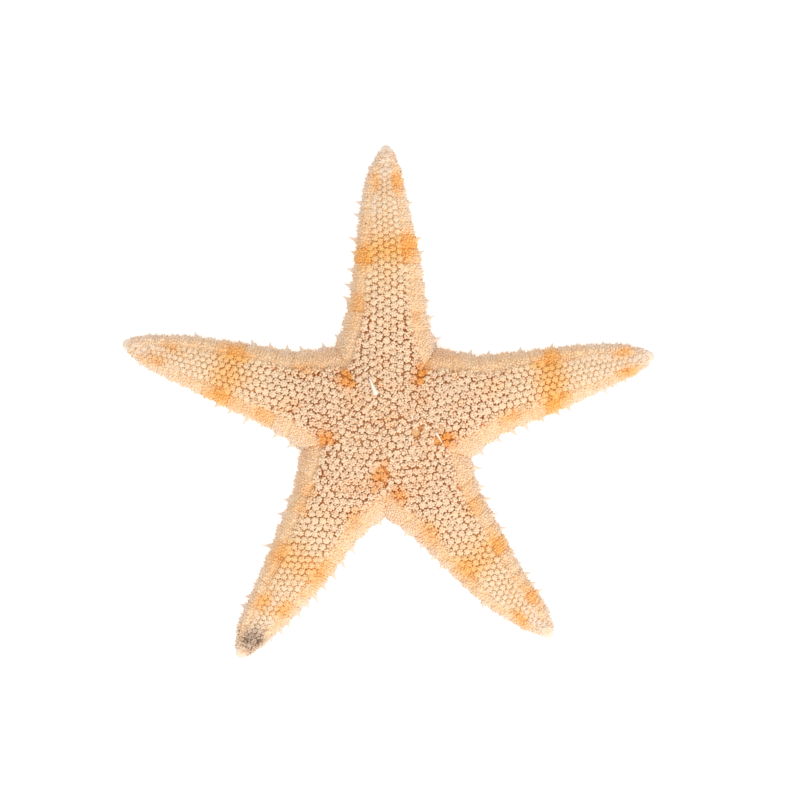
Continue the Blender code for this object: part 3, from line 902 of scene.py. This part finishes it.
bead_pieces = []
for k in range(5):
    spots, centres, ups, sizes, joints = [], [], [], [], []
    for i in range(k * ARM_POINTS, (k + 1) * ARM_POINTS):
        rows = max(2, round(cell_length(i, 1) / BEAD_PITCH))
        for r in range(rows):
            share = (r + 0.5) / rows
            path = rim_path(i, 0.06 + 0.88 * share)
            middle = rim_path(i, 0.5)
            walked = 0.5 * (r % 2) + rng.uniform(-0.15, 0.15)
            for level, (start, end) in enumerate(zip(path, path[1:])):
                pitch = BEAD_PITCH * LEVEL_PITCH[level]
                span = (end - start).length
                while walked * pitch < span:
                    spot = start.lerp(end, walked * pitch / span)
                    centres.append(tuple(middle[level].lerp(middle[level + 1], walked * pitch / span)))
                    spot += Vector(rng.normal(size=3)) * 0.1 * MM
                    near, normal, _, _ = surface.find_nearest(spot)
                    size = BEAD_PITCH * rng.uniform(0.4, 0.54)
                    tall = size * (rng.uniform(1.1, 1.9) if level < 4 else 0.6)
                    near += normal * 0.04 * MM
                    spots.append((near.x, near.y, max(near.z, 1.1 * tall + 0.02 * MM)))
                    ups.append(tuple((normal + Vector(rng.normal(size=3) * 0.22)).normalized()))
                    sizes.append((size, size, tall))
                    joints.append(min(share, 1 - share) * cell_length(i, 1) / MM + 0.3 * max(level - 2, 0))
                    walked += 1
                walked = (walked * pitch - span) / pitch
    at, sizes = np.array(spots), np.array(sizes)
    tone = cover_colour(0.35 * at + 0.65 * np.array(centres)) * uneven(len(at), 0.9, 1.05)
    at_joint = 0.4 * np.exp(-((np.array(joints) / JOINT_TINT_WIDTH) ** 2))
    tone = mix(tone, ORANGE_COVER, at_joint + rng.uniform(-0.2, 0.05, len(at)))
    beads = Copies(f"rim_beads_{ARM_NAMES[k]}")
    beads.add(bead, at, turned(np.array(ups), rng.uniform(0, 2 * math.pi, len(at))), sizes, tone)
    bead_pieces.append(beads.join())

# %% [markdown]
# ## Fringe spines
# One flat pointed spine stands out from the outer edge of each lower plate, with
# shorter ones beside it. Many have lost their points, so how far each one reaches
# is given plate by plate, from the notch to the tip of every arm side.

# %% Fringe of flat spines
SPINE_REACH = {"l": 2.0 * MM, "m": 1.45 * MM, "s": 0.8 * MM}
SPINE_WIDTH = {"l": 1.35 * MM, "m": 1.35 * MM, "s": 0.9 * MM}
SPINE_ROOT = 0.4 * MM
FULL_PLATE = 2.3 * MM
# beside the main spine: place along the plate and down its side, length and width
SHORT_SPINES = (
    (0.14, 0.45, 0.65 * MM, 0.6 * MM),
    (0.86, 0.45, 0.7 * MM, 0.6 * MM),
    (0.32, 0.85, 0.7 * MM, 0.55 * MM),
    (0.7, 0.85, 0.7 * MM, 0.55 * MM),
)
# right-hand and left-hand side of each arm, looking to its tip
FRINGE = (
    ("llmssmmssmsss", "msllmmlsmmsss"),
    ("mmmmmsssmssss", "llslmmsssssss"),
    ("ssmmslsssmmss", "mslllllmmmmms"),
    ("smmmmsssmssss", "lllmmsssmmmss"),
    ("llllmmmssmsss", "smmsmsmssssss"),
)
spines = []
for i in range(RING_SIZE):
    if not is_plate(i):
        continue
    k, place = divmod(i, ARM_POINTS)
    before_tip = place < PLATES
    letter = FRINGE[k][0][place] if before_tip else FRINGE[k][1][ARM_POINTS - 1 - place]
    cell = rim_rows[3][(i + 1) % RING_SIZE] - rim_rows[3][i]
    to_tip = cell.normalized() * (1 if before_tip else -1)
    small = min(1.0, cell.length / FULL_PLATE) ** 0.6
    main = (0.5, 0.3, SPINE_REACH[letter] * rng.uniform(0.92, 1.08), SPINE_WIDTH[letter])
    for share, drop, length, width in (main,) + SHORT_SPINES:
        path = rim_path(i, share + rng.normal() * 0.04)
        near, normal, _, _ = surface.find_nearest(path[3].lerp(path[4], drop))
        out = Vector((normal.x, normal.y, 0)).normalized()
        rise = Vector((0, 0, rng.uniform(-0.1, 0.1)))
        direction = (out + to_tip * rng.uniform(0.1, 0.35) + rise).normalized()
        flat = (width * small, 0.4 * width * small, length * small * rng.uniform(0.9, 1.1) + SPINE_ROOT)
        spines.append((tuple(near - normal * SPINE_ROOT), tuple(direction), flat))
at = np.array([s[0] for s in spines])
turns = turned(np.array([s[1] for s in spines]), ways=(0.0, 0.0, 1.0))
tone = cover_colour(at) * uneven(len(at), 0.96, 1.03)
pale = mix(tone, CREAM_EDGE, np.full(len(at), 0.8))
fringe = Copies("fringe_spines")
fringe.add(blade, at, turns, np.array([s[2] for s in spines]), pale, tone)
fringe_piece = fringe.join()

# %% [markdown]
# ## Arm tips
# Each arm ends in one smooth blunt plate, like a cap: a wedge that is wide
# behind and narrow in front. A sphere is squared off a little and tapered, which
# keeps its poles closed.

# %% Caps of the arm tips
CAP_LENGTH, CAP_WIDTH, CAP_HEIGHT = 3.8 * MM, 3.0 * MM, 2.3 * MM
CAP_MIDDLE = 1.45 * MM


def squared(value, power=0.6):
    """Pushes a value from -1 to 1 outwards, which turns a round side into a flatter one."""
    return math.copysign(abs(value) ** power, value)


caps = bmesh.new()
for k in range(5):
    made = bmesh.ops.create_uvsphere(caps, u_segments=32, v_segments=20, radius=1.0)["verts"]
    turn = math.radians(ARM_DIRECTION[k])
    middle = on_arm(k, ARM_REACH[k] - 0.5 * CAP_LENGTH, 0.0)
    for vert in made:
        x, y, z = vert.co
        taper = 0.85 - 0.24 * squared(x)
        along = 0.5 * CAP_LENGTH * squared(x, 0.5)
        across = 0.5 * CAP_WIDTH * squared(y) * taper
        up = 0.5 * CAP_HEIGHT * squared(z, 0.8) * taper * 1.15
        plan = middle + Vector((math.cos(turn), math.sin(turn))) * along
        plan += Vector((-math.sin(turn), math.cos(turn))) * across
        vert.co = Vector((plan.x, plan.y, CAP_MIDDLE - 0.12 * along + up))
bmesh.ops.recalc_face_normals(caps, faces=caps.faces)
tip_caps = finished("arm_tip_caps", caps)
places = np.array([v.co[:] for v in tip_caps.data.vertices])
paint(tip_caps, cover_colour(places) * (0.97 + 0.05 * ripple(places, 0.5 * MM, 21))[:, None])
print("faces of the caps", len(tip_caps.data.polygons))

# %% [markdown]
# ## Sieve plate
# Between two arms lies the small round plate through which the living animal
# draws water. Its wrinkles run in broken rings, so a fine low dome is lifted by a
# wave of the distance from its middle.

# %% Sieve plate
SIEVE_RISE = 0.42 * MM
SIEVE_FLOOR, SIEVE_WAVES = 0.5 * MM, 0.26 * MM
# the troughs of the wrinkles are painted darker, as painted shade, and the crests pale
SIEVE_TROUGH_SHADE, SIEVE_PALE = linear("#c07d3e"), linear("#eec492")
sieve = bmesh.new()
bmesh.ops.create_uvsphere(sieve, u_segments=56, v_segments=44, radius=1.0)
hit, _ = surface_at(SIEVE_AT)
for vert in sieve.verts:
    x, y, z = vert.co
    far = math.hypot(x, y)
    turn = math.atan2(y, x)
    wave = math.sin(24 * far + 2.2 * math.sin(3 * turn)) * (0.7 + 0.3 * math.sin(7 * turn))
    lift = 0.3 * z + 0.07 * wave * max(z, 0.0)
    vert.co = Vector((hit.x, hit.y, hit.z + SIEVE_RISE)) + Vector((x, y, lift)) * SIEVE_RADIUS
bmesh.ops.recalc_face_normals(sieve, faces=sieve.faces)
sieve_plate = finished("sieve_plate", sieve)
places = np.array([v.co[:] for v in sieve_plate.data.vertices])
# colour by height on the wrinkles: painted shade low in the troughs, pale on the crests
heights = (places[:, 2] - hit.z - SIEVE_FLOOR) / SIEVE_WAVES
paint(sieve_plate, mix(np.tile(SIEVE_TROUGH_SHADE, (len(places), 1)), SIEVE_PALE, heights))
print("faces of the sieve plate", len(sieve_plate.data.polygons))

# %% [markdown]
# ## Lower side
# The grooves are lined with short plates that carry three small spines each,
# folded over the groove. At the mouth the spines of five jaws meet. The rest of
# the lower side is paved with flat scales, made from the same bead.

# %% Spines of the grooves and jaws
PLATE_STEP = 1.15 * MM
# three spines of a groove plate: along the groove and out from its edge (mm), and their rise
GROOVE_SPINES = ((-0.1, 0.15, 0.23), (0.25, 0.55, -0.12), (-0.3, 0.95, -0.12))
JAW_SPREAD = (-14, -5, 5, 14)
lining = Copies("groove_spines")
small = []
for k in range(5):
    for side in (-1, 1):
        s = GROOVE_START
        while s < PLATES_END * ARM_REACH[k] - 1 * MM:
            share = s / ARM_REACH[k]
            half = float(through(GROOVE_HALF_WIDTH, share))
            grow = 1.1 - 0.6 * share
            for ahead, out, rise in GROOVE_SPINES:
                start = on_arm(k, s + ahead * MM, side * (half + out * MM * grow))
                inner = on_arm(k, s + ahead * MM, side * (half - 1.2 * MM))
                way = Vector((*(inner - start), 0)).normalized() + Vector((0, 0, rise))
                size = (0.4 * grow * MM, 0.3 * grow * MM, 0.85 * grow * MM)
                small.append(((*start, UNDERSIDE + 0.02 * MM), tuple(way), size))
            s += PLATE_STEP * grow
for k in range(5):
    for spread in JAW_SPREAD:
        start = CENTRE + polar(NOTCH_DIRECTION[k] + spread, 3.3 * MM)
        way = Vector((*(CENTRE - start), 0)).normalized() + Vector((0, 0, 0.15))
        small.append(((*start, UNDERSIDE), tuple(way), (0.5 * MM, 0.4 * MM, 1.7 * MM)))
at = np.array([s[0] for s in small])
turns = turned(np.array([s[1] for s in small]), ways=(0.0, 0.0, 1.0))
tone = np.tile(CREAM_EDGE, (len(at), 1)) * uneven(len(at), 0.92, 1.0)
lining.add(spinelet, at, turns, np.array([s[2] for s in small]), tone, 0.5 * tone + 0.5 * SKIN_RIM)
groove_piece = lining.join()

# %% Scales of the lower side
SCALE_PITCH = 0.95 * MM
SCALE_SIZE = np.array([0.5, 0.5, 0.16]) * MM
scales = Copies("lower_scales")
spots = grid_points(SCALE_PITCH)
spots = spots[clearance(spots, [p.xy for p in rim_rows[4]]) > 0.2 * MM]
kept = []
for spot in spots:
    k = nearest_arm(Vector(spot))
    s, t = arm_place(k, Vector(spot))
    if s > 5 * MM and abs(t) > float(through(GROOVE_HALF_WIDTH, s / ARM_REACH[k])) + 1.1 * MM:
        kept.append((*(spot + rng.normal(size=2) * 0.06 * MM), UNDERSIDE - 0.02 * MM))
at = np.array(kept)
sizes = SCALE_SIZE * uneven(len(at), 0.85, 1.1)
tone = np.tile(CREAM_ARM, (len(at), 1)) * uneven(len(at), 0.84, 0.96)
down = np.tile((0.0, 0.02, -1.0), (len(at), 1))
scales.add(bead, at, turned(down, rng.uniform(0, 2 * math.pi, len(at))), sizes, tone)
scale_piece = scales.join()

# %% [markdown]
# ## Wear and dirt
# A small white chip lies on the disc with a few loose spines, and dark sand
# grains are stuck to the worn end of one arm. They stay as they dried.

# %% Chip and loose spines
CHIP_WHITE = linear("#f4e8d8")
loose = Copies("loose_chips")
# place of the wide end right of and above the disc's centre, turn, length, width and
# height above the skin (mm)
CHIPS = (
    (-2.1, 5.6, 113, 3.7, 1.15, 1.35),
    (9.0, -1.3, -59, 2.9, 0.6, 1.4),
    (4.4, 2.1, -75, 1.9, 0.4, 1.4),
)
chips = []
for x, y, turn, length, width, height in CHIPS:
    hit, _ = surface_at(CENTRE + Vector((x, y)) * MM)
    start = hit + Vector((0, 0, height * MM))
    chips.append((tuple(start), (*polar(turn, 1.0), 0.05), (width * MM, 0.35 * MM, length * MM)))
at = np.array([c[0] for c in chips])
turns = turned(np.array([c[1] for c in chips]), ways=(0.0, 0.0, 1.0))
loose.add(blade, at, turns, np.array([c[2] for c in chips]), np.tile(CHIP_WHITE, (len(at), 1)))
loose_piece = loose.join()

# %% Sand grains and specks
GRAINS = 110
GRAIN_COLOURS = ("#3d332c", "#5b4634", "#857565", "#6f5138")
# single dark specks: arm, along and left (mm)
SPECKS = (
    (TOP, 48.3, -2.1),
    (TOP, 38.1, 4.1),
    (TOP, 35.0, 6.7),
    (RIGHT, 46.9, -1.7),
    (LOWER_LEFT, 48.2, -2.6),
)
SPECK_SIZE = (0.14 * MM, 0.14 * MM, 0.1 * MM)
SPECK_LIFT = 0.4 * MM
SPECK_BLACK = linear("#2a221c")
grains = Copies("sand_grains")
grit_parts = []
arm, along, left, wide, across = DIRT_PATCH
for _ in range(GRAINS):
    s = (along + rng.normal() * 0.45 * wide) * MM
    t = (left + rng.normal() * 0.5 * across) * MM
    size = rng.uniform(0.05, 0.12) * MM
    lift = rng.uniform(0.2, 0.6) * MM
    colour = linear(GRAIN_COLOURS[int(rng.integers(0, 4))])
    if s < ARM_REACH[arm] - 1.0 * MM:
        hit, normal = surface_at(on_arm(arm, s, t))
        if hit is not None:
            grit_parts.append((tuple(hit + normal * lift), (size, 0.8 * size, 0.7 * size), colour))
for arm, s, t in SPECKS:
    direction = polar(ARM_DIRECTION[arm], 1.0)
    hit, normal = surface_at(CENTRE + direction * s * MM + Vector((-direction.y, direction.x)) * t * MM)
    if hit is not None:
        grit_parts.append((tuple(hit + normal * SPECK_LIFT), SPECK_SIZE, SPECK_BLACK))
at = np.array([g[0] for g in grit_parts])
turns = turned(np.tile((0.1, 0.2, 1.0), (len(at), 1)), rng.uniform(0, 2 * math.pi, len(at)))
grains.add(bead, at, turns, np.array([g[1] for g in grit_parts]), np.array([g[2] for g in grit_parts]))
grain_piece = grains.join()

# %% [markdown]
# ## Dry, chalky skeleton
# The plates and spines are calcite, porous and full of air, with a thin film of
# dried skin. Such a surface is matt and pale, scatters light inside the fine
# parts and has no clear highlight. Scattering inside parts as small as these
# turned them grey, so the warm glow near their roots is in the stored colours
# instead. A fine grain of noise breaks the colours up.


# %% Materials
def add_node(tree, kind, links=(), **settings):
    """Adds one node. Settings are its properties or inputs; links are (input, output socket)."""
    node = tree.nodes.new(kind)
    for name, value in settings.items():
        if hasattr(node, name):
            setattr(node, name, value)
        else:
            node.inputs[name.replace("_", " ")].default_value = value
    for name, socket in links:
        tree.links.new(socket, node.inputs[name])
    return node


def calcite(name, roughness, grain_mm, grain_depth):
    """Matt mineral in the stored colour, with a grain of the given width and strength."""
    material = bpy.data.materials.new(name)
    material.use_nodes = True
    tree = material.node_tree
    shader = tree.nodes["Principled BSDF"]
    shader.inputs["Roughness"].default_value = roughness
    shader.inputs["IOR"].default_value = 1.5
    shader.inputs["Specular IOR Level"].default_value = 0.3
    tone = add_node(tree, "ShaderNodeAttribute", attribute_name="tone")
    places = add_node(tree, "ShaderNodeTexCoord")
    grain = add_node(
        tree,
        "ShaderNodeTexNoise",
        links=[("Vector", places.outputs["Object"])],
        Scale=1 / (grain_mm * MM),
        Detail=3.0,
    )
    shade = add_node(
        tree,
        "ShaderNodeMapRange",
        links=[("Value", grain.outputs["Fac"])],
        From_Min=0.3,
        From_Max=0.7,
        To_Min=1 - grain_depth,
        To_Max=1 + grain_depth * 0.4,
    )
    mixed = add_node(
        tree,
        "ShaderNodeVectorMath",
        operation="SCALE",
        links=[("Vector", tone.outputs["Color"]), ("Scale", shade.outputs["Result"])],
    )
    tree.links.new(mixed.outputs["Vector"], shader.inputs["Base Color"])
    return material


# skin dried onto the plates: a little smoother than they are, and blotchy
film = calcite("dried_skin_film", 0.7, 0.5, 0.2)
# bare calcite grown as a fine mesh: dull as chalk and nearly even in colour
chalk = calcite("chalky_calcite", 0.85, 0.45, 0.08)
# quartz sand worn by water: dull, with a faint sheen
grit = calcite("sand_grit", 0.6, 0.2, 0.1)
pieces = {skin: film, tip_caps: chalk, sieve_plate: chalk, fringe_piece: chalk, groove_piece: chalk}
pieces.update({scale_piece: chalk, loose_piece: chalk, grain_piece: grit})
pieces.update({piece: chalk for piece in knob_pieces + bead_pieces})
for piece, material in pieces.items():
    piece.data.materials.append(material)
    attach(piece, "root")
    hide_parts("starfish")
print("pieces", len(pieces))

# %% [markdown]
# ## Table, light and camera
# This is a high-key studio shot from straight above: a white ground, soft light
# from all round and a little more from the lower right of the picture, so that
# lower flanks are pale and upper ones hold a faint grey.

# %% Table
# a light table, as used for white grounds: it glows a little, which takes the shadows out
TABLE_GLOW = 0.35
TABLE_HALF = 1.2
ground = bmesh.new()
bmesh.ops.create_grid(ground, x_segments=1, y_segments=1, size=TABLE_HALF)
table = finished("pale_table", ground)
# uncoated paper, pressed from bleached pulp: white and without a sheen
paper = bpy.data.materials.new("matt_white_paper")
paper.use_nodes = True
paper_shader = paper.node_tree.nodes["Principled BSDF"]
paper_shader.inputs["Base Color"].default_value = (*linear("#fafafa"), 1.0)
paper_shader.inputs["Roughness"].default_value = 0.9
paper_shader.inputs["Specular IOR Level"].default_value = 0.2
paper_shader.inputs["Emission Color"].default_value = (1, 1, 1, 1)
paper_shader.inputs["Emission Strength"].default_value = TABLE_GLOW
table.data.materials.append(paper)
print("width of the table in m", 2 * TABLE_HALF)


# %% Lights
def softbox(name, place, width, power):
    """A square lamp that faces the star."""
    light = bpy.data.lights.new(name, "AREA")
    light.size = width
    light.energy = power
    lamp = bpy.data.objects.new(name, light)
    bpy.context.scene.collection.objects.link(lamp)
    lamp.location = place
    lamp.rotation_euler = (-Vector(place)).to_track_quat("-Z", "Y").to_euler()
    return lamp


KEY_POWER, FILL_POWER, SURROUND = 8.6, 3.5, 0.74
softbox("softbox_key", (0.5, -0.8, 0.8), 0.6, KEY_POWER)
softbox("softbox_fill", (-0.4, 0.2, 1.3), 1.0, FILL_POWER)
world = bpy.data.worlds.new("soft_studio")
world.use_nodes = True
world.node_tree.nodes["Background"].inputs["Color"].default_value = (1, 1, 1, 1)
world.node_tree.nodes["Background"].inputs["Strength"].default_value = SURROUND
bpy.context.scene.world = world
bpy.context.scene.view_settings.view_transform = "Standard"
print("softbox power in W", KEY_POWER, FILL_POWER)

# %% Camera
# the picture is 152 mm wide at the star's middle height, and the disc's centre
# lies a little left of and below its middle
PICTURE_WIDTH = 152 * MM
MIDDLE_HEIGHT = 4 * MM
OFF_CENTRE = Vector((2.28 * MM, 4.75 * MM))
LENS, SENSOR = 100.0, 36.0
camera_data = bpy.data.cameras.new("from_above")
camera_data.lens = LENS
camera_data.sensor_width = SENSOR
camera_data.clip_start = 0.01
camera = bpy.data.objects.new("from_above", camera_data)
camera.location = (*(CENTRE + OFF_CENTRE), PICTURE_WIDTH * LENS / SENSOR + MIDDLE_HEIGHT)
bpy.context.scene.collection.objects.link(camera)
bpy.context.scene.camera = camera
print("camera height in mm", round(camera.location.z / MM, 1))
